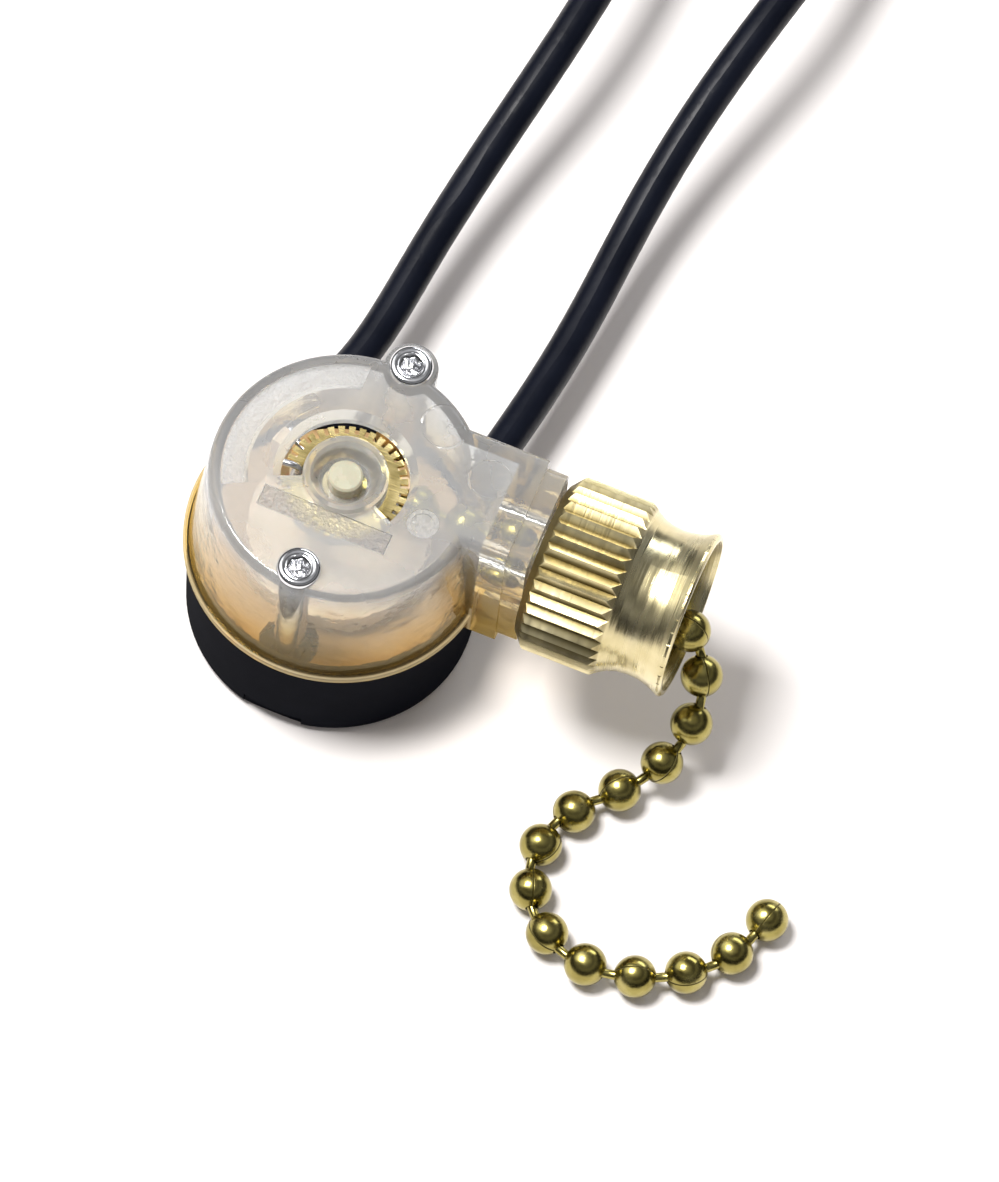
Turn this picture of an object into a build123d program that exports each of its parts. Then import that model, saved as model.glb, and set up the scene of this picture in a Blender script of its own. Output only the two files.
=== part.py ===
from build123d import *
from math import asin, atan2, cos, degrees, pi, radians, sin
import os

# Ball-chain pull switch, in millimetres.
# The origin is on the rotor's axis at the flat underside of the base.
# +Z runs up through the clear cover, +X out through the threaded neck and +Y towards the leads.

# Base and cover
BODY_HEIGHT = 21.4
RIM_HEIGHT = 9.9
BASE_RADIUS_BOTTOM = 10.8
BASE_RADIUS_TOP = 11.2
BASE_FLOOR = 1.8
BASE_EDGE_ROUND = 0.9
BASE_CAVITY_RADIUS = 9.0
LEDGE_RADIUS = 9.6
LEDGE_HEIGHT = 8.9
COVER_RIM_RADIUS = 11.5
COVER_RIM_THICK = 0.5
COVER_RADIUS_LOW = 11.1
COVER_RADIUS_TOP = 10.1
COVER_TOP_THICK = 1.1
COVER_WALL = 0.9
COVER_EDGE_ROUND = 0.7

# Rivets
BACK_RIVET = (1.1, 10.2)
FRONT_RIVET = (-0.3, -8.45)
LUG_RADIUS = 2.05
FRONT_BOSS_RADIUS = 1.8
RIVET_RADIUS = 1.15
RIVET_BORE = 0.85
RIVET_HOLE = 1.2
RIVET_ROLL_RADIUS = 0.42
RIVET_SEAT_DEPTH = 0.6

# Neck block, neck and nut: the chain leaves along this line
NECK_Y = 2.75
NECK_Z = 14.5
BLOCK_HALF_WIDTH = 4.55
BLOCK_END = 13.4
BLOCK_CAVITY_END = 11.3
BLOCK_WALL = 1.0
FLANGE_END = 15.0
NECK_END = 21.0
NECK_RADIUS = 4.8
NECK_BORE = 2.1
THREAD_PITCH = 1.0
THREAD_DEPTH = 0.35
NUT_START = 15.15
NUT_END = 26.95
NUT_BORE = 4.87
NUT_RADIUS = 6.8
KNURL_TEETH = 40
KNURL_DEPTH = 0.42

# Cover's centre boss and window
BOSS_RADIUS = 3.2
BOSS_INNER = 2.55
WINDOW_RADIUS = 4.8
WINDOW_START = -27.0
WINDOW_END = 204.0

# Mechanism
AXLE_RADIUS = 1.0
AXLE_CLEARANCE = 0.1
PIN_HEAD_RADIUS = 1.3
WHEEL_RADIUS = 6.8
WHEEL_BOTTOM = 10.1
WHEEL_TOP = 12.1
STROKE = 5.74
PIN_START_X = -STROKE / 2
SLIDER_PIN_RADIUS = 0.7
SLOT_CLEARANCE = 0.3
SLIDER_PIN_TO_BEAD = 3.97
SLIDER_BOTTOM = 12.35
SLIDER_THICK = 0.4
WHEEL_REST_ANGLE = degrees(atan2(NECK_Y, PIN_START_X))
POST_ANGLE = 158.0
POST_HALF_ANGLE = 6.0
POST_INNER = 5.8
POST_TOP = 18.4
ROTOR_RADIUS = 5.6
ROTOR_BOTTOM = 4.0
ROTOR_TOP = 7.2
ROTOR_HUB_RADIUS = 3.8
ROTOR_HUB_TOP = 9.4
DOG_COUNT = 4
DOG_INNER = 2.2
DOG_HEIGHT = 0.6
DOG_WIDTH_ANGLE = 40.0
CONTACT_THICK = 0.5
CONTACT_REACH = 5.3
DISC_THICK = 0.8
RETURN_COIL_RADIUS = 3.95
RETURN_WIRE_RADIUS = 0.26
LOWER_LEG_ANGLE = 148.0
UPPER_LEG_ANGLE = 186.0

# Leads
LEAD_HEIGHT = 5.0
LEAD_A_X = -6.8
LEAD_B_X = 7.2
LEAD_RADIUS = 1.4
LEAD_INNER_END = 4.2
WIRE_RADIUS = 0.51
JACKET_BORE = 0.53
WIRE_INNER_END = 1.2
LEAD_STRAIGHT_END = 9.5
LEAD_OUTER_END = 100.0
STRIPPED_LENGTH = 9.0
# Where each lead's centre line runs: it arches off the ground and comes down again at its free end
LEAD_A_COURSE = [
    (-5.2, 16.5, 5.0),
    (-3.7, 26.0, 5.6),
    (-2.2, 36.0, 6.9),
    (-0.3, 46.0, 8.9),
    (0.9, 55.0, 9.3),
    (1.8, 68.0, 6.5),
    (2.1, 84.0, 2.3),
]
LEAD_B_COURSE = [
    (8.0, 17.0, 4.75),
    (9.2, 26.5, 4.8),
    (9.95, 36.0, 5.9),
    (11.6, 46.5, 8.4),
    (14.0, 57.0, 9.9),
    (15.9, 70.0, 7.2),
    (16.6, 85.0, 2.5),
]
LEAD_A_END_X = 2.1
LEAD_B_END_X = 16.8

# Ball chain: hollow beads on short dumb-bell links
BEAD_RADIUS = 1.6
BEAD_WALL = 0.25
BEAD_HOLE = 0.49
LINK_RADIUS = 0.36
LINK_HEAD_RADIUS = 0.52
LINK_HEAD_DEPTH = 0.8
PIVOT_RADIUS = BEAD_RADIUS - BEAD_WALL / 2
BEAD_PITCH = 3.85
LINK_SPAN = BEAD_PITCH - 2 * PIVOT_RADIUS
NECK_BEAD_COUNT = 6
# How each link outside the bore lies at rest: its heading from +X and its dip below level
MOUTH_LINKS = [(16.0, 16.0), (-2.0, 41.0)]
CHAIN_LINKS = [
    (-44.0, 46.5),
    (-80.0, 35.0),
    (-115.0, 42.0),
    (-131.0, 25.0),
    (-137.0, -3.0),
    (-110.0, 0.0),
    (-80.0, 0.0),
    (-49.0, 0.0),
    (-19.0, 0.0),
    (11.0, 0.0),
    (28.0, 0.0),
    (46.0, 0.0),
    (74.0, 0.0),
]


def cylinder(radius, bottom, top, x=0.0, y=0.0):
    return Pos(x, y, (bottom + top) / 2) * Cylinder(radius, top - bottom)


def block(x0, x1, y0, y1, z0, z1):
    return Pos((x0 + x1) / 2, (y0 + y1) / 2, (z0 + z1) / 2) * Box(x1 - x0, y1 - y0, z1 - z0)


def turned(points, arc=360.0, start=0.0):
    """A solid turned about Z from (radius, height) points, beginning at the start angle."""
    outline = Polyline([(radius, 0.0, height) for radius, height in points], close=True)
    return Rot(0, 0, start) * revolve(make_face(outline), Axis.Z, revolution_arc=arc)


def ring_sector(inner, outer, bottom, top, start, end):
    corners = [(inner, bottom), (outer, bottom), (outer, top), (inner, top)]
    return turned(corners, end - start, start)


def on_neck_axis(shape):
    """Places a shape built along Z at the origin so that its axis is the neck's and its height is X."""
    return Plane(origin=(0, NECK_Y, NECK_Z), x_dir=(0, 0, 1), z_dir=(1, 0, 0)).location * shape


def polar(radius, angle):
    return (radius * cos(radians(angle)), radius * sin(radians(angle)))


def only_solid(shape):
    """The shape as one plain solid, the biggest where a cut leaves crumbs."""
    return max(shape.solids(), key=lambda solid: solid.volume)


# Base: a cup with a lug and a boss for the rivets, a ledge for the disc and holes for the leads


def base():
    body = turned([(0, 0), (BASE_RADIUS_BOTTOM, 0), (BASE_RADIUS_TOP, RIM_HEIGHT), (0, RIM_HEIGHT)])
    body = fillet(body.edges().group_by(Axis.Z)[0], BASE_EDGE_ROUND)
    body += cylinder(LUG_RADIUS, 0, RIM_HEIGHT, *BACK_RIVET)
    body -= cylinder(BASE_CAVITY_RADIUS, BASE_FLOOR, RIM_HEIGHT)
    body -= cylinder(LEDGE_RADIUS, LEDGE_HEIGHT, RIM_HEIGHT)
    body += cylinder(LUG_RADIUS, 0, RIM_HEIGHT, *BACK_RIVET)
    body += cylinder(FRONT_BOSS_RADIUS, BASE_FLOOR / 2, LEDGE_HEIGHT, *FRONT_RIVET)
    for centre in (BACK_RIVET, FRONT_RIVET):
        body -= cylinder(RIVET_HOLE, 0, RIM_HEIGHT, *centre)
        seat_radius = RIVET_RADIUS + RIVET_ROLL_RADIUS + 0.2
        body -= cylinder(seat_radius, 0, RIVET_SEAT_DEPTH, *centre)
    for lead_x in (LEAD_A_X, LEAD_B_X):
        hole = Pos(lead_x, 8.2, LEAD_HEIGHT) * Rot(90, 0, 0) * Cylinder(LEAD_RADIUS + 0.05, 9.6)
        body -= hole
    body -= neck_block_space(0.05)
    notch_depth, notch_height = 0.55, 1.7
    notch_back = -BASE_RADIUS_BOTTOM + notch_depth
    body -= block(-2.8, 1.9, -BASE_RADIUS_TOP - 1, notch_back, 0, notch_height)
    body -= cylinder(AXLE_RADIUS + 0.02, BASE_FLOOR / 2, BASE_FLOOR)
    return body


def neck_block_space(gap):
    """The room that the neck block takes, grown by a gap, outside the cavity's wall."""
    half_height = BODY_HEIGHT - NECK_Z
    room = block(
        6.0,
        BLOCK_END + gap,
        NECK_Y - BLOCK_HALF_WIDTH - gap,
        NECK_Y + BLOCK_HALF_WIDTH + gap,
        NECK_Z - half_height - gap,
        BODY_HEIGHT + gap,
    )
    return room - cylinder(LEDGE_RADIUS + 0.05 - gap, 0, RIM_HEIGHT)


# Cover: skirt, rim, lug, neck block with threaded neck, window and the shallow marks on its top


def cover_shell():
    skirt = turned(
        [
            (0, RIM_HEIGHT),
            (COVER_RIM_RADIUS, RIM_HEIGHT),
            (COVER_RIM_RADIUS, RIM_HEIGHT + COVER_RIM_THICK),
            (COVER_RADIUS_LOW, RIM_HEIGHT + COVER_RIM_THICK),
            (COVER_RADIUS_TOP, BODY_HEIGHT),
            (0, BODY_HEIGHT),
        ]
    )
    skirt = fillet(skirt.edges().group_by(Axis.Z)[-1], COVER_EDGE_ROUND)
    lug = cylinder(LUG_RADIUS, RIM_HEIGHT, BODY_HEIGHT, *BACK_RIVET)
    lug = fillet(lug.edges().group_by(Axis.Z)[-1], 0.4)
    half_height = BODY_HEIGHT - NECK_Z
    neck_block = block(
        3.0,
        BLOCK_END,
        NECK_Y - BLOCK_HALF_WIDTH,
        NECK_Y + BLOCK_HALF_WIDTH,
        NECK_Z - half_height,
        BODY_HEIGHT,
    )
    neck_block = fillet(neck_block.edges().filter_by(Axis.X), 0.5)
    neck_block -= cylinder(LEDGE_RADIUS + 0.05, 0, RIM_HEIGHT)
    return skirt + lug + neck_block


def cover_cavity():
    ceiling = BODY_HEIGHT - COVER_TOP_THICK
    round_room = turned(
        [
            (0, RIM_HEIGHT),
            (COVER_RADIUS_LOW - COVER_WALL, RIM_HEIGHT),
            (COVER_RADIUS_TOP - COVER_WALL + 0.05, ceiling),
            (0, ceiling),
        ]
    )
    round_room -= cylinder(LUG_RADIUS, RIM_HEIGHT, BODY_HEIGHT, *BACK_RIVET)
    channel = block(
        3.0,
        BLOCK_CAVITY_END,
        NECK_Y - BLOCK_HALF_WIDTH + BLOCK_WALL,
        NECK_Y + BLOCK_HALF_WIDTH - BLOCK_WALL,
        RIM_HEIGHT - 1.3,
        ceiling,
    )
    return round_room + channel


def neck():
    """Flange plate and neck with thread ridges, built along Z."""
    flange = Pos(0, 0, (BLOCK_END + FLANGE_END) / 2) * Box(12.8, 8.7, FLANGE_END - BLOCK_END)
    flange = fillet(flange.edges().filter_by(Axis.Z), 1.0)
    root = NECK_RADIUS - THREAD_DEPTH
    points = [(0, BLOCK_END), (root, BLOCK_END)]
    ridge_count = int((NECK_END - FLANGE_END) / THREAD_PITCH) - 1
    for index in range(ridge_count):
        start = FLANGE_END + 0.4 + index * THREAD_PITCH
        points.append((root, start))
        points.append((NECK_RADIUS, start + 0.4 * THREAD_PITCH))
        points.append((NECK_RADIUS, start + 0.6 * THREAD_PITCH))
    points += [(root, start + THREAD_PITCH), (root, NECK_END), (0, NECK_END)]
    return flange + turned(points)


def window():
    """The C-shaped opening with a bevel on its outer edge."""
    below, above = BODY_HEIGHT - 1.6, BODY_HEIGHT + 0.1
    bevel_start = BODY_HEIGHT - 0.5
    profile = [
        (BOSS_RADIUS, below),
        (WINDOW_RADIUS, below),
        (WINDOW_RADIUS, bevel_start),
        (WINDOW_RADIUS + 0.7, above),
        (BOSS_RADIUS, above),
    ]
    return turned(profile, WINDOW_END - WINDOW_START, WINDOW_START)


def centre_boss():
    """The ring round the axle pin's head, with a floor under it and a bowl in it."""
    boss_bottom = 16.6
    boss_top = BODY_HEIGHT + 0.25
    floor_bottom, floor_top = 19.4, 20.0
    return turned(
        [
            (BOSS_INNER + 0.15, boss_bottom),
            (BOSS_RADIUS, boss_bottom),
            (BOSS_RADIUS, boss_top - 0.2),
            (BOSS_RADIUS - 0.2, boss_top),
            (BOSS_INNER + 0.1, boss_top),
            (BOSS_INNER - 0.1, boss_top - 0.25),
            (PIN_HEAD_RADIUS + 0.35, floor_top),
            (AXLE_RADIUS + 0.05, floor_top),
            (AXLE_RADIUS + 0.05, floor_bottom),
            (BOSS_INNER + 0.15, floor_bottom),
        ]
    )


def surface_marks():
    """Shallow recesses in the cover's top: plaque, part-ring field, dimple and two plain rings."""
    top = BODY_HEIGHT
    above = top + 1
    marks = [Pos(-0.1, -3.98, top) * Rot(0, 0, -1) * Box(10.2, 1.75, 0.4)]
    field = ring_sector(5.9, 9.25, top - 0.16, above, 100, 208)
    marks.append(field & block(-12, -1.6, -4.5, 12, top - 1, above))
    marks.append(cylinder(1.2, top - 0.15, above, 6.7, -1.4))
    marks.append(cylinder(0.9, top - 0.35, above, 6.7, -1.4))
    for x, y, radius in ((5.2, 6.6, 1.85), (9.9, 3.9, 1.65)):
        ring = cylinder(radius, top - 0.1, above, x, y)
        marks.append(ring - cylinder(radius - 0.18, top - 1, above + 1, x, y))
    return marks


def cover():
    body = cover_shell() + on_neck_axis(neck())
    body -= cover_cavity()
    body -= on_neck_axis(cylinder(NECK_BORE, BLOCK_CAVITY_END - 1, NECK_END + 1))
    body -= cylinder(BOSS_INNER, BODY_HEIGHT - 3, BODY_HEIGHT + 1)
    body -= window()
    for mark in surface_marks():
        body -= mark
    body += centre_boss()
    for centre in (BACK_RIVET, FRONT_RIVET):
        body -= cylinder(RIVET_HOLE, RIM_HEIGHT, BODY_HEIGHT, *centre)
    return body


# Fixed small parts


def rivet(centre):
    """Tubular rivet: a barrel with a rolled head at each end."""
    top, bottom = BODY_HEIGHT, RIVET_SEAT_DEPTH
    barrel = cylinder(RIVET_RADIUS, bottom, top)
    roll_ring = Torus(RIVET_RADIUS + 0.1, RIVET_ROLL_RADIUS)
    upper_roll = (Pos(0, 0, top) * roll_ring) & cylinder(3, top, top + 1)
    lower_roll = (Pos(0, 0, bottom) * roll_ring) & cylinder(3, bottom - 1, bottom)
    whole = barrel + upper_roll + lower_roll - cylinder(RIVET_BORE, -1, top + 1)
    return Pos(centre[0], centre[1], 0) * whole


def rivets():
    return Compound(children=[only_solid(rivet(BACK_RIVET)), only_solid(rivet(FRONT_RIVET))])


def axle_pin():
    """Shouldered pin from the base floor to its flat head in the boss."""
    head_bottom, head_top = 20.0, BODY_HEIGHT - 0.05
    return turned(
        [
            (0, BASE_FLOOR / 2),
            (AXLE_RADIUS, BASE_FLOOR / 2),
            (AXLE_RADIUS, head_bottom),
            (PIN_HEAD_RADIUS, head_bottom),
            (PIN_HEAD_RADIUS, head_top - 0.15),
            (PIN_HEAD_RADIUS - 0.15, head_top),
            (0, head_top),
        ]
    )


def insulating_disc():
    disc = cylinder(LEDGE_RADIUS - 0.05, LEDGE_HEIGHT, LEDGE_HEIGHT + DISC_THICK)
    disc -= cylinder(ROTOR_HUB_RADIUS + 0.3, 0, RIM_HEIGHT)
    for centre in (BACK_RIVET, FRONT_RIVET):
        disc -= cylinder(LUG_RADIUS + 0.05, 0, RIM_HEIGHT, *centre)
    return disc


def terminal(side, lead_x):
    """Bent brass strip: a leaf under the rotor contact, a foot and a crimp on the lead's core."""
    thick = 0.5
    foot_end = abs(lead_x) + 0.6
    leaf_top = ROTOR_BOTTOM - CONTACT_THICK - 0.03
    strip_points = [
        (3.0, BASE_FLOOR),
        (3.0, 2.85),
        (4.4, leaf_top),
        (4.8, leaf_top),
        (5.4, leaf_top - 0.35),
        (5.4, leaf_top - 0.6),
        (4.6, leaf_top - 0.3),
        (3.3, 2.62),
        (3.3, BASE_FLOOR + thick),
        (foot_end, BASE_FLOOR + thick),
        (foot_end, BASE_FLOOR),
    ]
    outline = Polyline([(side * x, 1.0, z) for x, z in strip_points], close=True)
    strip = extrude(make_face(outline), amount=2.0, dir=(0, -1, 0))
    foot = block(abs(lead_x) - 0.6, foot_end, 0.9, 3.6, BASE_FLOOR, BASE_FLOOR + thick)
    web_start, web_end = abs(lead_x) - thick / 2, abs(lead_x) + thick / 2
    web = block(web_start, web_end, 1.4, 3.6, BASE_FLOOR, LEAD_HEIGHT - 0.7)
    bracket = foot + web
    if side < 0:
        bracket = mirror(bracket, about=Plane.YZ)
    crimp = Pos(lead_x, 2.5, LEAD_HEIGHT) * Rot(90, 0, 0) * Cylinder(0.95, 2.2)
    core = Pos(lead_x, 2.5, LEAD_HEIGHT) * Rot(90, 0, 0) * Cylinder(WIRE_RADIUS, 4.0)
    return strip + bracket + crimp - core


def lead_line(lead_x, course, end_x):
    """The lead's centre line from inside the base to the end of its jacket, straight at both ends."""
    start = (lead_x, LEAD_INNER_END, LEAD_HEIGHT)
    bend = (lead_x, LEAD_STRAIGHT_END, LEAD_HEIGHT)
    stop = (end_x, LEAD_OUTER_END, LEAD_RADIUS + 0.1)
    inner = Line(start, bend)
    outer = Spline([bend, *course, stop], tangents=[(0, 1, 0), (0, 1, 0)])
    return inner, outer


def along(line_parts, radius, bore=0.0):
    """A round bar or tube along joined lines, its first one along Y."""
    section = Circle(radius)
    if bore:
        section -= Circle(bore)
    start = Plane(origin=line_parts[0] @ 0, z_dir=(0, 1, 0))
    return sweep(start * section, path=Wire(line_parts))


def conductor_bar(lead_x, course, end_x):
    inner, outer = lead_line(lead_x, course, end_x)
    free_end = outer @ 1
    tail = Line(free_end, free_end + Vector(0, STRIPPED_LENGTH, 0))
    tip = Line((lead_x, WIRE_INNER_END, LEAD_HEIGHT), inner @ 0)
    return along([tip, inner, outer, tail], WIRE_RADIUS)


def jacket(lead_x, course, end_x):
    inner, outer = lead_line(lead_x, course, end_x)
    return along([inner, outer], LEAD_RADIUS, JACKET_BORE)


# Moving mechanism


def wheel_slot():
    """The radial slot for the slider's pin, at its rest angle."""
    near = NECK_Y - SLIDER_PIN_RADIUS - 0.25
    far = NECK_Y / sin(radians(WHEEL_REST_ANGLE)) + SLIDER_PIN_RADIUS + 0.25
    half_width = SLIDER_PIN_RADIUS + SLOT_CLEARANCE
    slot = block(near, far, -half_width, half_width, WHEEL_BOTTOM - 1, WHEEL_TOP + 1)
    return Rot(0, 0, WHEEL_REST_ANGLE) * slot


def dog(bottom, top, upward):
    """One face tooth at angle 0, its free end ramped."""
    half_width = DOG_WIDTH_ANGLE / 2
    tooth = ring_sector(DOG_INNER, ROTOR_HUB_RADIUS, bottom, top, -half_width, half_width)
    ramp_tilt = 10.0
    free_end, out = (top, 1) if upward else (bottom, -1)
    cutter = Pos(3, 1.0 * out, free_end) * Rot(ramp_tilt, 0, 0) * Pos(0, 0, out) * Box(6, 8, 2)
    return tooth - cutter


def drive_wheel():
    body = cylinder(WHEEL_RADIUS, WHEEL_BOTTOM, WHEEL_TOP)
    body += ring_sector(
        POST_INNER,
        WHEEL_RADIUS,
        WHEEL_TOP - 0.5,
        POST_TOP,
        POST_ANGLE - POST_HALF_ANGLE,
        POST_ANGLE + POST_HALF_ANGLE,
    )
    for index in range(DOG_COUNT):
        turn = 360.0 / DOG_COUNT * (index + 0.5)
        body += Rot(0, 0, turn) * dog(WHEEL_BOTTOM - DOG_HEIGHT, WHEEL_BOTTOM, False)
    body -= cylinder(AXLE_RADIUS + AXLE_CLEARANCE, 0, BODY_HEIGHT)
    return body - wheel_slot()


def ratchet_rotor():
    body = cylinder(ROTOR_RADIUS, ROTOR_BOTTOM, ROTOR_TOP)
    body += cylinder(ROTOR_HUB_RADIUS, ROTOR_TOP, ROTOR_HUB_TOP)
    for index in range(DOG_COUNT):
        turn = 360.0 / DOG_COUNT * index
        body += Rot(0, 0, turn) * dog(ROTOR_HUB_TOP, ROTOR_HUB_TOP + DOG_HEIGHT, True)
    body -= cylinder(AXLE_RADIUS + AXLE_CLEARANCE, 0, BODY_HEIGHT)
    return body - cylinder(2.6, 0, 5.4)


def rotor_contact():
    top = ROTOR_BOTTOM
    bar = block(-CONTACT_REACH, CONTACT_REACH, -1.4, 1.4, top - CONTACT_THICK, top)
    ring = cylinder(3.4, top - CONTACT_THICK, top)
    round_ends = cylinder(CONTACT_REACH, top - CONTACT_THICK, top)
    return (bar & round_ends) + ring - cylinder(2.7, 0, BODY_HEIGHT)


def coil(radius, wire_radius, bottom, pitch, turns, start_angle):
    """A round-wire coil about Z whose wire begins at start_angle."""
    path = Helix(pitch=pitch, height=pitch * turns, radius=radius)
    slope = degrees(asin(pitch / (2 * pi * radius)))
    direction = (0, cos(radians(slope)), sin(radians(slope)))
    section = Plane(origin=(radius, 0, 0), z_dir=direction) * Circle(wire_radius)
    return Pos(0, 0, bottom) * Rot(0, 0, start_angle) * sweep(section, path=path, is_frenet=True)


def rotor_spring():
    wire_radius, pitch, turns = 0.2, 0.8, 3.9
    return coil(1.9, wire_radius, BASE_FLOOR + wire_radius + 0.02, pitch, turns, 0)


def spring_point(radius, angle, ahead, height):
    """A point at a radius and angle about Z, moved ahead along the way the coil winds."""
    x, y = polar(radius, angle)
    ahead_x, ahead_y = polar(ahead, angle + 90.0)
    return (x + ahead_x, y + ahead_y, height)


def return_spring():
    """Torsion spring: its lower leg bears on the wheel's post, its upper leg lies in the window."""
    bottom, top = 17.3, 19.2
    leg_height = BODY_HEIGHT - 0.75
    riser_radius, bend = 3.55, 0.5
    half_bend = bend * (1.0 - cos(radians(45)))
    points = [
        spring_point(WHEEL_RADIUS, LOWER_LEG_ANGLE, 0.0, bottom),
        spring_point(WHEEL_RADIUS - 1.0, LOWER_LEG_ANGLE, 0.0, bottom),
        spring_point(RETURN_COIL_RADIUS + bend, LOWER_LEG_ANGLE, 0.0, bottom),
        spring_point(RETURN_COIL_RADIUS + half_bend, LOWER_LEG_ANGLE, half_bend, bottom),
    ]
    first_angle = 12.0
    last_angle = 3 * 360.0 + UPPER_LEG_ANGLE - LOWER_LEG_ANGLE - 15.0
    step_count = 72
    narrowing = 0.1
    for index in range(step_count + 1):
        share = index / step_count
        angle = LOWER_LEG_ANGLE + first_angle + share * (last_angle - first_angle)
        drawn_in = max(0.0, share + narrowing - 1.0) / narrowing
        radius = RETURN_COIL_RADIUS - drawn_in * (RETURN_COIL_RADIUS - riser_radius)
        points.append(spring_point(radius, angle, 0.0, bottom + share * (top - bottom)))
    points += [
        spring_point(riser_radius, UPPER_LEG_ANGLE, -half_bend, top + half_bend),
        spring_point(riser_radius, UPPER_LEG_ANGLE, 0.0, top + bend),
        spring_point(riser_radius, UPPER_LEG_ANGLE, 0.0, leg_height - bend),
        spring_point(riser_radius + half_bend, UPPER_LEG_ANGLE, 0.0, leg_height - half_bend),
        spring_point(riser_radius + bend, UPPER_LEG_ANGLE, 0.0, leg_height),
        spring_point(WINDOW_RADIUS - 0.05, UPPER_LEG_ANGLE, 0.0, leg_height),
    ]
    inward = Vector(*polar(-1.0, LOWER_LEG_ANGLE), 0)
    outward = Vector(*polar(1.0, UPPER_LEG_ANGLE), 0)
    section = Plane(origin=points[0], z_dir=inward) * Circle(RETURN_WIRE_RADIUS)
    return sweep(section, path=Spline(points, tangents=[inward, outward]))


def toothed_ring():
    """Flat ring pushed on the boss over the spring, open where the spring's leg comes up."""
    bottom, top = 19.72, 20.02
    outer = WINDOW_RADIUS - 0.1
    gap_half_angle = 9.0
    start = UPPER_LEG_ANGLE + gap_half_angle
    end = UPPER_LEG_ANGLE + 360 - gap_half_angle
    ring = ring_sector(BOSS_RADIUS, outer, bottom, top, start, end)
    notch_count, notch_depth, notch_half_width = 36, 0.6, 0.16
    for index in range(notch_count):
        notch = block(
            outer - notch_depth, outer + 1, -notch_half_width, notch_half_width, bottom - 1, top + 1
        )
        ring -= Rot(0, 0, 360.0 / notch_count * index) * notch
    return ring


def chain_slider():
    """Carriage: a floor strip with the wheel pin under one end and a slotted wall at the other."""
    half_width = 1.45
    low, high = NECK_Y - half_width, NECK_Y + half_width
    floor_top = SLIDER_BOTTOM + SLIDER_THICK
    bead_x = PIN_START_X + SLIDER_PIN_TO_BEAD
    wall_start = bead_x + BEAD_RADIUS + 0.05
    body = block(PIN_START_X - 1.0, wall_start + SLIDER_THICK, low, high, SLIDER_BOTTOM, floor_top)
    body += block(wall_start, wall_start + SLIDER_THICK, low, high, SLIDER_BOTTOM, NECK_Z + 1.2)
    gap = 0.45
    body -= block(wall_start - 1, wall_start + 1, NECK_Y - gap, NECK_Y + gap, NECK_Z - gap, NECK_Z + 3)
    back_wall = bead_x - BEAD_RADIUS - 0.05
    body += block(back_wall - SLIDER_THICK, back_wall, low, high, SLIDER_BOTTOM, NECK_Z - 0.6)
    return body + cylinder(SLIDER_PIN_RADIUS, WHEEL_BOTTOM + 0.2, SLIDER_BOTTOM, PIN_START_X, NECK_Y)


def nut_blank():
    """Bell nut without its knurl, built along Z: chamfer, knurled band, waist and flared lip."""
    outside = [
        (5.8, NUT_START),
        (NUT_RADIUS, NUT_START + 0.85),
        (NUT_RADIUS, 21.3),
        (6.3, 22.0),
        (6.02, 22.5),
        (5.8, 23.2),
        (5.72, 24.0),
        (5.78, 24.8),
        (5.95, 25.5),
        (6.22, 26.2),
        (6.42, 26.6),
        (6.42, 26.78),
        (6.25, NUT_END),
    ]
    inside = [
        (5.95, NUT_END),
        (5.78, 26.6),
        (5.5, 25.8),
        (5.22, 24.9),
        (5.08, 24.0),
        (NUT_BORE, 21.8),
        (NUT_BORE, NUT_START),
    ]
    return turned(outside + inside)


def knurled_nut():
    outline = []
    for index in range(2 * KNURL_TEETH):
        radius = NUT_RADIUS - KNURL_DEPTH * (index % 2)
        outline.append(polar(radius, 180.0 / KNURL_TEETH * index))
    star = extrude(make_face(Polyline(outline, close=True)), amount=NUT_END + 1)
    return on_neck_axis(nut_blank() & star)


# Ball chain


def direction(heading, dip):
    level = cos(radians(dip))
    return Vector(level * cos(radians(heading)), level * sin(radians(heading)), -sin(radians(dip)))


def chain_course():
    """Bead centres and axes and link directions from the slider to the free end."""
    links = [direction(0, 0)] * (NECK_BEAD_COUNT - 1)
    links += [direction(heading, dip) for heading, dip in MOUTH_LINKS + CHAIN_LINKS]
    axes = [links[0]]
    for before, after in zip(links, links[1:]):
        axes.append((before + after).normalized())
    axes.append(links[-1])
    centres = [Vector(PIN_START_X + SLIDER_PIN_TO_BEAD, NECK_Y, NECK_Z)]
    for index, link in enumerate(links):
        step = axes[index] * PIVOT_RADIUS + link * LINK_SPAN + axes[index + 1] * PIVOT_RADIUS
        centres.append(centres[-1] + step)
    return centres, axes, links


def bead(centre, axis):
    shell = Sphere(BEAD_RADIUS) - Sphere(BEAD_RADIUS - BEAD_WALL) - Cylinder(BEAD_HOLE, 3 * BEAD_RADIUS)
    return Plane(origin=centre, z_dir=axis).location * only_solid(shell)


def link(start, way):
    """Dumb-bell from one bead's pivot to the next, with a head inside each bead."""
    low, high = -LINK_HEAD_DEPTH, LINK_SPAN + LINK_HEAD_DEPTH
    body = cylinder(LINK_RADIUS, low, high)
    for height in (low, high):
        body += Pos(0, 0, height) * Sphere(LINK_HEAD_RADIUS)
    return Plane(origin=start, z_dir=way).location * only_solid(body)


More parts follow.
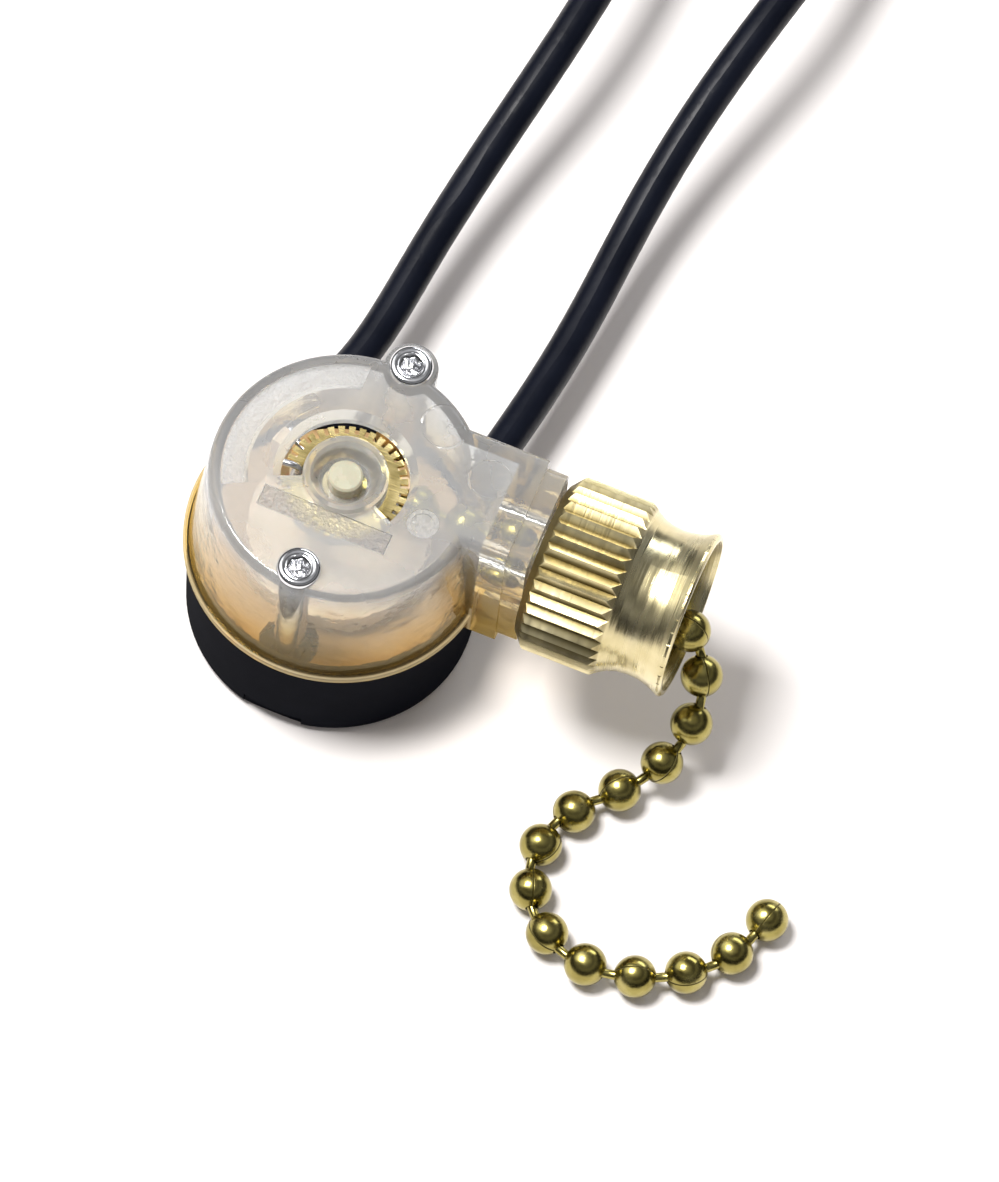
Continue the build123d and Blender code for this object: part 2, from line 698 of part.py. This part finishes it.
def chain():
    centres, axes, links = chain_course()
    beads = [bead(centre, axis) for centre, axis in zip(centres, axes)]
    starts = [centre + axis * PIVOT_RADIUS for centre, axis in zip(centres, axes)]
    bars = [link(start, way) for start, way in zip(starts, links)]
    nodes = {}
    nodes["neck_beads"] = Compound(children=beads[:NECK_BEAD_COUNT])
    nodes["neck_links"] = Compound(children=bars[: NECK_BEAD_COUNT - 1])
    mouth_count = len(MOUTH_LINKS)
    for index in range(mouth_count):
        nodes[f"mouth_bead_{index + 1}"] = beads[NECK_BEAD_COUNT + index]
        nodes[f"mouth_link_{index + 1}"] = bars[NECK_BEAD_COUNT - 1 + index]
    for index in range(len(CHAIN_LINKS)):
        nodes[f"bead_{index + 1:02d}"] = beads[NECK_BEAD_COUNT + mouth_count + index]
        nodes[f"link_{index + 1:02d}"] = bars[NECK_BEAD_COUNT - 1 + mouth_count + index]
    return nodes


def switch_parts():
    lead_a = (LEAD_A_X, LEAD_A_COURSE, LEAD_A_END_X)
    lead_b = (LEAD_B_X, LEAD_B_COURSE, LEAD_B_END_X)
    nodes = {
        "base": base(),
        "cover": cover(),
        "axle_pin": axle_pin(),
        "insulating_disc": insulating_disc(),
        "terminal_a": terminal(-1, LEAD_A_X),
        "terminal_b": terminal(1, LEAD_B_X),
        "lead_jacket_a": jacket(*lead_a),
        "lead_jacket_b": jacket(*lead_b),
        "conductor_a": conductor_bar(*lead_a),
        "conductor_b": conductor_bar(*lead_b),
        "drive_wheel": drive_wheel(),
        "ratchet_rotor": ratchet_rotor(),
        "rotor_contact": rotor_contact(),
        "rotor_spring": rotor_spring(),
        "return_spring": return_spring(),
        "toothed_ring": toothed_ring(),
        "chain_slider": chain_slider(),
        "knurled_nut": knurled_nut(),
    }
    nodes = {name: only_solid(shape) for name, shape in nodes.items()}
    nodes["rivets"] = rivets()
    nodes.update(chain())
    return nodes


os.makedirs("parts", exist_ok=True)
for name, shape in switch_parts().items():
    export_step(shape, f"parts/{name}.step")
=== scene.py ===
import math

import bpy
from mathutils import Matrix, Vector


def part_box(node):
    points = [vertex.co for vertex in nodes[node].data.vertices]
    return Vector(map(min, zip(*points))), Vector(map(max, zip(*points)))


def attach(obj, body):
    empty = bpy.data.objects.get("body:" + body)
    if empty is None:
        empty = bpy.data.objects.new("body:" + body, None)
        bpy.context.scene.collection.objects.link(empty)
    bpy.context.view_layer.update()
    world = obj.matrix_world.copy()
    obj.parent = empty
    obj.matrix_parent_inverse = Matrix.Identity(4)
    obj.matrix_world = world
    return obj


# Looks for the pull cord switch. Everything is in metres, in the CAD frame: +Z up through the clear
# cover, +X out along the threaded neck, +Y towards the leads.

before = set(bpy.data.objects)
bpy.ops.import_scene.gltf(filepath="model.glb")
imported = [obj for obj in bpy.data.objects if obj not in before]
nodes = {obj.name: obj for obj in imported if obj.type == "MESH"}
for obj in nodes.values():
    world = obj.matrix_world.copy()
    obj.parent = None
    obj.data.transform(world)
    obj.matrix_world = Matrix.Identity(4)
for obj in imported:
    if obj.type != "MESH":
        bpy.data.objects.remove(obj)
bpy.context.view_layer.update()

MM = 0.001

# Cover: where its rim is (below a height, between the skirt and the rim's edge) and the shallow recesses
# in its top, with the heights over which a recess's floor fades in and its open side fades out
RIM_HEIGHTS = (0.0118, 0.0114)
RIM_FROM = (0.0112, 0.0114)
RIM_TO = (0.0115, 0.0117)
RECESS_FLOOR = (0.0207, 0.02115)
RECESS_OPEN = (0.02128, 0.02134)
BAND_RADII = (0.0072, 0.0093)
PLAQUE_CENTRE = (-0.0001, -0.00398)
PLAQUE_HALF = (0.0051, 0.00096)
DIMPLE_CENTRE = (0.0067, -0.0014, 0.0)
DIMPLE_RADIUS = 0.0012

# Nut: its axis (Y, Z), where its knurled half ends and how deep the grooves are
NUT_AXIS = (0.0, 2.75 * MM, 14.5 * MM)
KNURL_END = (0.0219, 0.0216)
GROOVE_RADII = (0.00672, 0.00642)

# Chain: half the width of a bead's closed seam, with the seam's soft edge
SEAM_EDGE = (0.00002, 0.00007)
NO_SEAM_CENTRE = [0.0, 0.0, -1.0]
NO_SEAM_NORMAL = [0.0, 0.0, 1.0]

# Points closer than this are one point
WELD_DISTANCE = 1e-7


class Nodes:
    """The node tree of a material or a world, with short calls that add nodes and link them."""

    def __init__(self, owner, output="ShaderNodeOutputMaterial"):
        owner.use_nodes = True
        self.owner = owner
        self.tree = owner.node_tree
        self.tree.nodes.clear()
        self.output = self.add(output)

    def add(self, kind, inputs=None, **settings):
        node = self.tree.nodes.new(kind)
        for key, value in settings.items():
            setattr(node, key, value)
        for key, value in (inputs or {}).items():
            self.feed(node.inputs[key], value)
        return node

    def feed(self, socket, value):
        if isinstance(value, bpy.types.NodeSocket):
            self.tree.links.new(value, socket)
        else:
            socket.default_value = value

    def maths(self, operation, first, second=0.0, clamp=False):
        node = self.add("ShaderNodeMath", {0: first, 1: second}, operation=operation, use_clamp=clamp)
        return node.outputs[0]

    def times(self, first, second):
        return self.maths("MULTIPLY", first, second)

    def plus(self, first, second, clamp=False):
        return self.maths("ADD", first, second, clamp)

    def length(self, first, second):
        """The length of a vector in a plane, from its two parts."""
        return self.maths("SQRT", self.plus(self.times(first, first), self.times(second, second)))

    def vectors(self, operation, first, second):
        return self.add("ShaderNodeVectorMath", {0: first, 1: second}, operation=operation).outputs

    def place(self):
        """Where a point is, in metres in the CAD frame."""
        return self.add("ShaderNodeTexCoord").outputs["Object"]

    def split(self, vector):
        return self.add("ShaderNodeSeparateXYZ", {0: vector}).outputs

    def join(self, x, y, z):
        return self.add("ShaderNodeCombineXYZ", {0: x, 1: y, 2: z}).outputs[0]

    def noise(self, scale, vector=None, detail=3.0, roughness=0.55):
        vector = vector or self.place()
        wanted = {"Vector": vector, "Scale": scale, "Detail": detail, "Roughness": roughness}
        return self.add("ShaderNodeTexNoise", wanted).outputs["Fac"]

    def grain(self, place, scales):
        """Noise with its own scale along each axis, for drawn, brushed and fibrous surfaces."""
        return self.noise(1.0, self.vectors("MULTIPLY", place, scales)["Vector"])

    def between(self, value, low, high, to_low=0.0, to_high=1.0):
        """Maps low to high onto to_low to to_high, held at the ends."""
        wanted = {"Value": value, "From Min": low, "From Max": high, "To Min": to_low, "To Max": to_high}
        return self.add("ShaderNodeMapRange", wanted).outputs["Result"]

    def mix(self, factor, first, second):
        node = self.add("ShaderNodeMix", {0: factor, 6: first, 7: second}, data_type="RGBA")
        return node.outputs[2]

    def ramp(self, factor, stops):
        node = self.add("ShaderNodeValToRGB", {0: factor})
        elements = node.color_ramp.elements
        while len(elements) < len(stops):
            elements.new(0.5)
        for element, (position, colour) in zip(elements, stops):
            element.position = position
            element.color = (*colour, 1.0)
        return node.outputs["Color"]

    def bump(self, height, strength, distance, normal=None):
        wanted = {"Height": height, "Strength": strength, "Distance": distance}
        if normal is not None:
            wanted["Normal"] = normal
        return self.add("ShaderNodeBump", wanted).outputs["Normal"]

    def principled(self, **values):
        inputs = {key.replace("_", " "): value for key, value in values.items()}
        return self.add("ShaderNodeBsdfPrincipled", inputs).outputs[0]

    def blend(self, factor, first, second):
        return self.add("ShaderNodeMixShader", {0: factor, 1: first, 2: second}).outputs[0]

    def done(self, shader):
        self.feed(self.output.inputs["Surface"], shader)
        return self.owner


def new_material(name):
    return Nodes(bpy.data.materials.new(name))


def rgb(red, green, blue):
    return (red, green, blue, 1.0)


# Materials


def black_plastic():
    """Matt black moulding with a fine grain and a faint blue-grey sheen."""
    m = new_material("black_plastic")
    cloud = m.noise(260.0)
    shader = m.principled(
        Base_Color=m.mix(cloud, rgb(0.002, 0.0024, 0.0045), rgb(0.006, 0.007, 0.011)),
        Roughness=m.between(cloud, 0.3, 0.7, 0.36, 0.5),
        Normal=m.bump(m.noise(4200.0, detail=2.0), 0.12, 0.00003),
        Specular_IOR_Level=0.0,
        Coat_Weight=0.05,
        Coat_Roughness=0.35,
    )
    return m.done(shader)


def stippled_marks(m, x, y, z, radius):
    """Masks of the recessed marks in the cover's top: all of them together, and the plaque alone."""
    recess = m.times(m.between(z, *RECESS_OPEN, 1.0, 0.0), m.between(z, *RECESS_FLOOR))
    band_inner, band_outer = BAND_RADII
    outside = m.between(radius, band_outer - 0.0002, band_outer, 1.0, 0.0)
    band = m.times(m.times(outside, m.between(radius, band_inner, band_inner + 0.0004)), recess)
    from_middle_x = m.maths("ABSOLUTE", m.maths("SUBTRACT", x, PLAQUE_CENTRE[0]))
    from_middle_y = m.maths("ABSOLUTE", m.maths("SUBTRACT", y, PLAQUE_CENTRE[1]))
    in_length = m.between(from_middle_x, PLAQUE_HALF[0] - 0.0001, PLAQUE_HALF[0], 1.0, 0.0)
    in_width = m.between(from_middle_y, PLAQUE_HALF[1] - 0.00006, PLAQUE_HALF[1], 1.0, 0.0)
    plaque = m.times(m.times(in_length, in_width), recess)
    from_dimple = m.vectors("DISTANCE", m.join(x, y, 0.0), DIMPLE_CENTRE)["Value"]
    dimple = m.times(m.maths("LESS_THAN", from_dimple, DIMPLE_RADIUS), recess)
    return m.plus(m.plus(band, plaque), dimple, clamp=True), plaque


def clear_cover():
    """Clear moulding with a faint haze, warm towards its rim, stippled in its recessed band and plaque."""
    m = new_material("clear_plastic")
    place = m.place()
    x, y, z = m.split(place)
    radius = m.length(x, y)
    cloud = m.noise(170.0, place, detail=4.0)
    height = m.between(z, 0.0105, 0.0212)
    warm = m.between(m.plus(height, m.times(cloud, 0.3)), 0.15, 1.05)
    tint_stops = [(0.0, (0.87, 0.73, 0.41)), (0.45, (0.94, 0.9, 0.79)), (1.0, (0.955, 0.975, 0.99))]
    tint = m.ramp(warm, tint_stops)
    matt, plaque = stippled_marks(m, x, y, z, radius)
    flange = m.times(m.between(radius, *RIM_FROM), m.between(radius, *RIM_TO, 1.0, 0.0))
    rim = m.times(m.between(z, *RIM_HEIGHTS), flange)

    # The milk is the share of the surface that scatters light and so hides what lies below
    milk = m.between(cloud, 0.3, 0.75, 0.05, 0.13)
    milk = m.plus(milk, m.times(m.between(z, 0.0185, 0.0205), 0.26))
    milk = m.plus(milk, m.times(matt, 0.22), clamp=True)
    milk = m.plus(milk, m.times(rim, 0.4), clamp=True)
    milk_stops = [(0.0, (0.42, 0.3, 0.12)), (0.5, (0.58, 0.52, 0.4)), (1.0, (0.6, 0.62, 0.64))]
    milk_colour = m.ramp(warm, milk_stops)
    milk_colour = m.mix(m.times(plaque, 0.85), milk_colour, rgb(0.3, 0.3, 0.32))
    milk_colour = m.mix(rim, milk_colour, rgb(0.72, 0.62, 0.4))

    rough = m.plus(m.between(cloud, 0.3, 0.7, 0.02, 0.07), m.times(matt, 0.3))
    ripple = m.bump(m.noise(420.0, place, detail=2.0), 0.3, 0.00025)
    stipple = m.times(m.noise(2600.0, place, detail=2.0), m.plus(matt, 0.03))
    normal = m.bump(stipple, 0.8, 0.0004, ripple)
    surface = {"Color": tint, "Roughness": rough, "IOR": 1.45, "Normal": normal}
    glass = m.add("ShaderNodeBsdfGlass", surface).outputs[0]
    diffuse = m.add("ShaderNodeBsdfDiffuse", {"Color": milk_colour, "Normal": normal}).outputs[0]
    through = m.add("ShaderNodeBsdfTranslucent", {"Color": milk_colour}).outputs[0]
    seen = m.blend(milk, glass, m.blend(0.4, diffuse, through))

    # Shadows and soft light pass nearly freely, so the mechanism inside stays bright
    open_way = m.add("ShaderNodeBsdfTransparent", {"Color": rgb(0.93, 0.915, 0.895)}).outputs[0]
    path = m.add("ShaderNodeLightPath").outputs
    passing = m.maths("MAXIMUM", path["Is Shadow Ray"], path["Is Diffuse Ray"])
    return m.done(m.blend(passing, seen, open_way))


def nickel():
    """Bright plated steel with slight waves."""
    m = new_material("plated_steel")
    cloud = m.noise(900.0)
    shader = m.principled(
        Base_Color=m.mix(cloud, rgb(0.66, 0.67, 0.7), rgb(0.86, 0.86, 0.87)),
        Metallic=1.0,
        Roughness=m.between(cloud, 0.3, 0.7, 0.08, 0.2),
        Normal=m.bump(m.noise(2400.0), 0.2, 0.00005),
    )
    return m.done(shader)


def nylon():
    """Pale, slightly translucent green-cream pin."""
    m = new_material("nylon")
    cloud = m.noise(700.0)
    shader = m.principled(
        Base_Color=m.mix(cloud, rgb(0.36, 0.35, 0.26), rgb(0.5, 0.49, 0.38)),
        Roughness=m.between(cloud, 0.3, 0.7, 0.18, 0.34),
        Normal=m.bump(m.noise(1500.0), 0.3, 0.0001),
        Subsurface_Weight=0.3,
        Subsurface_Scale=0.0006,
    )
    return m.done(shader)


def tan_board():
    """Insulating board with fibres along X."""
    m = new_material("tan_board")
    fibre = m.grain(m.place(), (500.0, 4000.0, 1.0))
    shader = m.principled(
        Base_Color=m.ramp(fibre, [(0.3, (0.26, 0.16, 0.065)), (0.7, (0.4, 0.27, 0.12))]),
        Roughness=m.between(fibre, 0.3, 0.7, 0.5, 0.7),
        Normal=m.bump(fibre, 0.3, 0.0001),
    )
    return m.done(shader)


def moulded(name, dark, light, rough_low, rough_high, glow=0.0):
    """An opaque or slightly translucent inside moulding with a cloudy colour and fine grain."""
    m = new_material(name)
    cloud = m.noise(380.0)
    shader = m.principled(
        Base_Color=m.mix(m.between(cloud, 0.3, 0.7), rgb(*dark), rgb(*light)),
        Roughness=m.between(cloud, 0.3, 0.7, rough_low, rough_high),
        Normal=m.bump(m.noise(3500.0, detail=2.0), 0.25, 0.00005),
        Subsurface_Weight=glow,
        Subsurface_Scale=0.001,
    )
    return m.done(shader)


def sheet_metal(name, dark, light, rough_low, rough_high):
    """Stamped or drawn metal: fine drawn lines along X and faint tarnish."""
    m = new_material(name)
    place = m.place()
    tarnish = m.noise(420.0, place)
    shader = m.principled(
        Base_Color=m.mix(m.between(tarnish, 0.3, 0.7), rgb(*dark), rgb(*light)),
        Metallic=1.0,
        Roughness=m.between(tarnish, 0.3, 0.7, rough_low, rough_high),
        Normal=m.bump(m.grain(place, (700.0, 9000.0, 9000.0)), 0.3, 0.00004),
    )
    return m.done(shader)


def lead_insulation():
    """Black insulation drawn along Y, with a thin soft sheen."""
    m = new_material("lead_insulation")
    place = m.place()
    cloud = m.noise(220.0, place)
    shader = m.principled(
        Base_Color=m.mix(cloud, rgb(0.0015, 0.002, 0.0045), rgb(0.005, 0.007, 0.015)),
        Roughness=m.between(cloud, 0.3, 0.7, 0.3, 0.4),
        Normal=m.bump(m.grain(place, (2500.0, 160.0, 2500.0)), 0.08, 0.00003),
        Coat_Weight=0.05,
        Coat_Roughness=0.2,
        IOR=1.3,
        Specular_IOR_Level=0.3,
    )
    return m.done(shader)


def nut_brass():
    """Turned brass: rings brushed round the nut's axis, rougher down in the knurl's grooves, which are
    darkened with painted shade.
    """
    m = new_material("nut_brass")
    place = m.place()
    from_axis = m.vectors("SUBTRACT", place, NUT_AXIS)["Vector"]
    x, across, up = m.split(from_axis)
    radius = m.length(across, up)
    rings = m.grain(from_axis, (9000.0, 120.0, 120.0))
    wide_rings = m.grain(from_axis, (1800.0, 60.0, 60.0))
    cloud = m.noise(330.0, place)
    knurled = m.between(x, *KNURL_END)
    groove = m.times(knurled, m.between(radius, *GROOVE_RADII))
    brass_stops = [(0.3, (0.57, 0.49, 0.26)), (0.55, (0.71, 0.63, 0.38)), (0.75, (0.81, 0.74, 0.49))]
    colour = m.ramp(cloud, brass_stops)
    # Painted shade: the knurl's grooves are darkened towards a deep brown
    colour = m.mix(m.times(groove, 0.85), colour, rgb(0.16, 0.12, 0.04))
    rough = m.between(wide_rings, 0.3, 0.7, 0.2, 0.33)
    rough = m.plus(rough, m.times(knurled, 0.08))
    rough = m.plus(rough, m.times(groove, 0.1))
    normal = m.bump(rings, 0.35, 0.00005)
    normal = m.bump(wide_rings, 0.3, 0.0001, normal)
    shader = m.principled(
        Base_Color=colour, Metallic=1.0, Roughness=rough, Normal=normal, Anisotropic=0.35
    )
    return m.done(shader)


def chain_brass():
    """Polished bead chain, a darker brass with a closed seam on each bead and specks of tarnish."""
    m = new_material("chain_brass")
    place = m.place()
    centre, across = [
        m.add("ShaderNodeAttribute", attribute_type="OBJECT", attribute_name=name).outputs["Vector"]
        for name in ("seam_centre", "seam_normal")
    ]
    from_centre = m.vectors("SUBTRACT", place, centre)["Vector"]
    depth = m.vectors("DOT_PRODUCT", from_centre, across)["Value"]
    seam = m.between(m.maths("ABSOLUTE", depth), *SEAM_EDGE, 1.0, 0.0)
    cloud = m.noise(600.0, place, detail=4.0)
    brass_stops = [(0.3, (0.23, 0.19, 0.05)), (0.55, (0.36, 0.31, 0.1)), (0.75, (0.48, 0.42, 0.17))]
    colour = m.ramp(cloud, brass_stops)
    colour = m.mix(m.times(seam, 0.9), colour, rgb(0.03, 0.022, 0.006))
    rough = m.plus(m.between(cloud, 0.3, 0.7, 0.17, 0.3), m.times(seam, 0.3))
    dents = m.bump(m.noise(900.0, place), 0.25, 0.00012)
    normal = m.bump(m.times(seam, -1.0), 0.5, 0.00008, dents)
    return m.done(m.principled(Base_Color=colour, Metallic=1.0, Roughness=rough, Normal=normal))


brass_sheet = sheet_metal("contact_brass", (0.62, 0.48, 0.16), (0.86, 0.72, 0.36), 0.16, 0.28)
steel = sheet_metal("spring_steel", (0.34, 0.34, 0.36), (0.6, 0.6, 0.62), 0.2, 0.32)
copper = sheet_metal("tinned_copper", (0.68, 0.36, 0.22), (0.85, 0.55, 0.4), 0.2, 0.34)
insulation = lead_insulation()
chain = chain_brass()
looks = {
    "base": black_plastic(),
    "cover": clear_cover(),
    "rivets": nickel(),
    "axle_pin": nylon(),
    "insulating_disc": tan_board(),
    "drive_wheel": moulded("amber_plastic", (0.6, 0.46, 0.28), (0.74, 0.62, 0.46), 0.25, 0.4, 0.2),
    "ratchet_rotor": moulded("dark_plastic", (0.2, 0.1, 0.045), (0.36, 0.2, 0.1), 0.35, 0.5),
    "knurled_nut": nut_brass(),
    "terminal_a": brass_sheet,
    "terminal_b": brass_sheet,
    "toothed_ring": brass_sheet,
    "chain_slider": brass_sheet,
    "return_spring": steel,
    "rotor_spring": steel,
    "conductor_a": copper,
    "conductor_b": copper,
    "rotor_contact": copper,
    "lead_jacket_a": insulation,
    "lead_jacket_b": insulation,
}


# Seams of the beads


def middle(name):
    low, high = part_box(name)
    return (low + high) / 2


def seam_frame(name, neighbour, turn):
    """Gives a bead the plane of its seam: through its centre and along the chain, turned by its own angle."""
    centre = middle(name)
    along = (middle(neighbour) - centre).normalized()
    side = along.cross(Vector((0.13, 0.2, 1.0))).normalized()
    normal = Matrix.Rotation(turn, 3, along) @ side
    nodes[name]["seam_centre"] = list(centre)
    nodes[name]["seam_normal"] = list(normal)


for name, obj in nodes.items():
    obj.data.materials.clear()
    obj.data.materials.append(looks.get(name, chain))
    if name not in looks:
        obj["seam_centre"] = NO_SEAM_CENTRE
        obj["seam_normal"] = NO_SEAM_NORMAL
for name in nodes:
    number = name.split("_")[-1]
    if name.startswith("bead_"):
        seam_frame(name, f"link_{number}", 0.9 + 2.1 * int(number))
    if name.startswith("mouth_bead_"):
        seam_frame(name, f"mouth_link_{number}", 0.4 + 1.3 * int(number))

# A link's mesh has two faces of no area at its ends, which go when its coincident points are welded
for name, obj in nodes.items():
    if "link" in name:
        obj.modifiers.new("weld", "WELD").merge_threshold = WELD_DISTANCE


# The crimped cup pressed into each rivet's bore

RIVET_CENTRES = {"back_rivet_cup": (0.0011, 0.0102), "front_rivet_cup": (-0.0003, -0.00845)}
CUP_BELOW_HEAD = 0.05 * MM
CUP_SIDES = 48
CUP_CRIMPS = 6
CUP_FLOOR_TOP = -1.3 * MM
CUP_FLOOR_UNDER = -1.47 * MM
# Radius and depth in mm, and how far the crimps press in: from the floor up to the rim, then back below
CUP_RINGS = [
    (0.3, -1.25, 0.12),
    (0.5, -1.0, 0.2),
    (0.68, -0.5, 0.16),
    (0.86, -0.1, 0.04),
    (1.06, 0.0, 0.0),
    (1.06, -0.15, 0.0),
    (0.84, -0.28, 0.04),
    (0.62, -0.68, 0.16),
    (0.44, -1.18, 0.2),
    (0.26, -1.42, 0.12),
]


def new_object(name, vertices, faces):
    mesh = bpy.data.meshes.new(name)
    mesh.from_pydata(vertices, [], faces)
    obj = bpy.data.objects.new(name, mesh)
    bpy.context.scene.collection.objects.link(obj)
    return obj


def rivet_cup(name, centre, top):
    """A six-sided crimped funnel of thin metal that closes a rivet's bore a little below its head."""
    middle_of_rim = Vector((*centre, top))
    vertices = [middle_of_rim + Vector((0.0, 0.0, CUP_FLOOR_TOP))]
    for radius, depth, pinch in CUP_RINGS:
        for index in range(CUP_SIDES):
            angle = 2 * math.pi * index / CUP_SIDES
            reach = radius * (1.0 - pinch * (0.5 + 0.5 * math.cos(CUP_CRIMPS * angle)))
            point = Vector((reach * math.cos(angle), reach * math.sin(angle), depth))
            vertices.append(middle_of_rim + point * MM)
    vertices.append(middle_of_rim + Vector((0.0, 0.0, CUP_FLOOR_UNDER)))
    last = len(vertices) - 1
    faces = []
    for index in range(CUP_SIDES):
        after = (index + 1) % CUP_SIDES
        faces.append((0, 1 + index, 1 + after))
        for ring in range(len(CUP_RINGS) - 1):
            inner, outer = 1 + ring * CUP_SIDES, 1 + (ring + 1) * CUP_SIDES
            faces.append((inner + index, outer + index, outer + after, inner + after))
        faces.append((last, last - CUP_SIDES + after, last - CUP_SIDES + index))
    obj = new_object(name, vertices, faces)
    obj.data.shade_smooth()
    obj.data.materials.append(looks["rivets"])
    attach(obj, "housing")


rivets_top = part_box("rivets")[1].z
for name, centre in RIVET_CENTRES.items():
    rivet_cup(name, centre, rivets_top - CUP_BELOW_HEAD)


# Floor, lights and camera

FLOOR_HALF = 3.0
FILL_STRENGTH = 0.36
# The room's grey from straight down to straight up, seen only in reflections
ROOM_GREYS = [(0.0, 0.05), (0.35, 0.03), (0.6, 0.3), (0.8, 0.08), (1.0, 0.5)]
# A wide soft panel up and to the left, seen only in reflections
PANEL_WAY = (-0.55, 0.1, 0.75)
PANEL_EDGE, PANEL_CORE, PANEL_GLOW = 0.86, 0.95, 1.3
LIGHTS_AIM = (0.011, 0.006, 0.0)
CAMERA_AIM = (11.3 * MM, 5.8 * MM, 0.0)
CAMERA_DISTANCE = 1.494
CAMERA_BACK = (0.111, -0.423, 0.899)
CAMERA_RIGHT = (0.926, 0.372, 0.061)
CAMERA_LENS = 609.0
CAMERA_SENSOR = 36.0


def floor():
    low, high = -FLOOR_HALF, FLOOR_HALF
    corners = [(low, low, 0.0), (high, low, 0.0), (high, high, 0.0), (low, high, 0.0)]
    obj = new_object("floor", corners, [(0, 1, 2, 3)])
    m = new_material("floor")
    colour = m.mix(m.noise(3.0), rgb(0.83, 0.81, 0.805), rgb(0.85, 0.83, 0.825))
    shader = m.principled(Base_Color=colour, Roughness=0.7, Specular_IOR_Level=0.2)
    obj.data.materials.append(m.done(shader))


def softbox(name, place, size, power, colour):
    data = bpy.data.lights.new(name, "AREA")
    data.shape = "RECTANGLE"
    data.size, data.size_y = size
    data.energy = power
    data.color = colour
    obj = bpy.data.objects.new(name, data)
    obj.location = place
    obj.rotation_euler = (Vector(LIGHTS_AIM) - Vector(place)).to_track_quat("-Z", "Y").to_euler()
    bpy.context.scene.collection.objects.link(obj)


def surroundings():
    """White for the camera, a pale fill for diffuse light, a dark room with a pale panel for reflections."""
    world = bpy.data.worlds.new("studio")
    bpy.context.scene.world = world
    w = Nodes(world, "ShaderNodeOutputWorld")
    path = w.add("ShaderNodeLightPath").outputs
    way = w.add("ShaderNodeTexCoord").outputs["Generated"]
    room_stops = [(height, (grey, grey, grey * 1.02)) for height, grey in ROOM_GREYS]
    room = w.ramp(w.split(way)[2], room_stops)
    facing = w.vectors("DOT_PRODUCT", way, Vector(PANEL_WAY).normalized())["Value"]
    spread = {"Value": facing, "From Min": PANEL_EDGE, "From Max": PANEL_CORE, "To Max": PANEL_GLOW}
    panel = w.add("ShaderNodeMapRange", spread, interpolation_type="SMOOTHSTEP").outputs["Result"]
    both = w.add("ShaderNodeMixRGB", {0: 1.0, 1: room, 2: panel}, blend_type="ADD").outputs[0]
    reflected = w.add("ShaderNodeBackground", {"Color": both}).outputs[0]
    soft = {"Color": rgb(1.0, 0.94, 0.91), "Strength": FILL_STRENGTH}
    fill = w.add("ShaderNodeBackground", soft).outputs[0]
    white = w.add("ShaderNodeBackground", {"Color": rgb(1.0, 1.0, 1.0)}).outputs[0]
    lit = w.blend(path["Is Glossy Ray"], fill, reflected)
    w.done(w.blend(path["Is Camera Ray"], lit, white))


def camera():
    """A long lens whose view is square to the photographed one."""
    data = bpy.data.cameras.new("camera")
    data.sensor_fit = "VERTICAL"
    data.sensor_height = CAMERA_SENSOR
    data.lens = CAMERA_LENS
    data.clip_start, data.clip_end = 0.1, 20.0
    obj = bpy.data.objects.new("camera", data)
    bpy.context.scene.collection.objects.link(obj)
    back = Vector(CAMERA_BACK).normalized()
    right = Vector(CAMERA_RIGHT)
    right = (right - back * right.dot(back)).normalized()
    turn = Matrix((right, back.cross(right), back)).transposed().to_4x4()
    obj.matrix_world = Matrix.Translation(Vector(CAMERA_AIM) + back * CAMERA_DISTANCE) @ turn
    bpy.context.scene.camera = obj


floor()
surroundings()
softbox("key", place=(-0.32, -0.03, 0.93), size=(0.32, 0.32), power=14.0, colour=(1.0, 0.98, 0.96))
softbox("side", place=(0.1, 0.9, 0.5), size=(0.7, 0.25), power=3.0, colour=(0.95, 0.97, 1.0))
camera()
bpy.context.scene.view_settings.view_transform = "Standard"
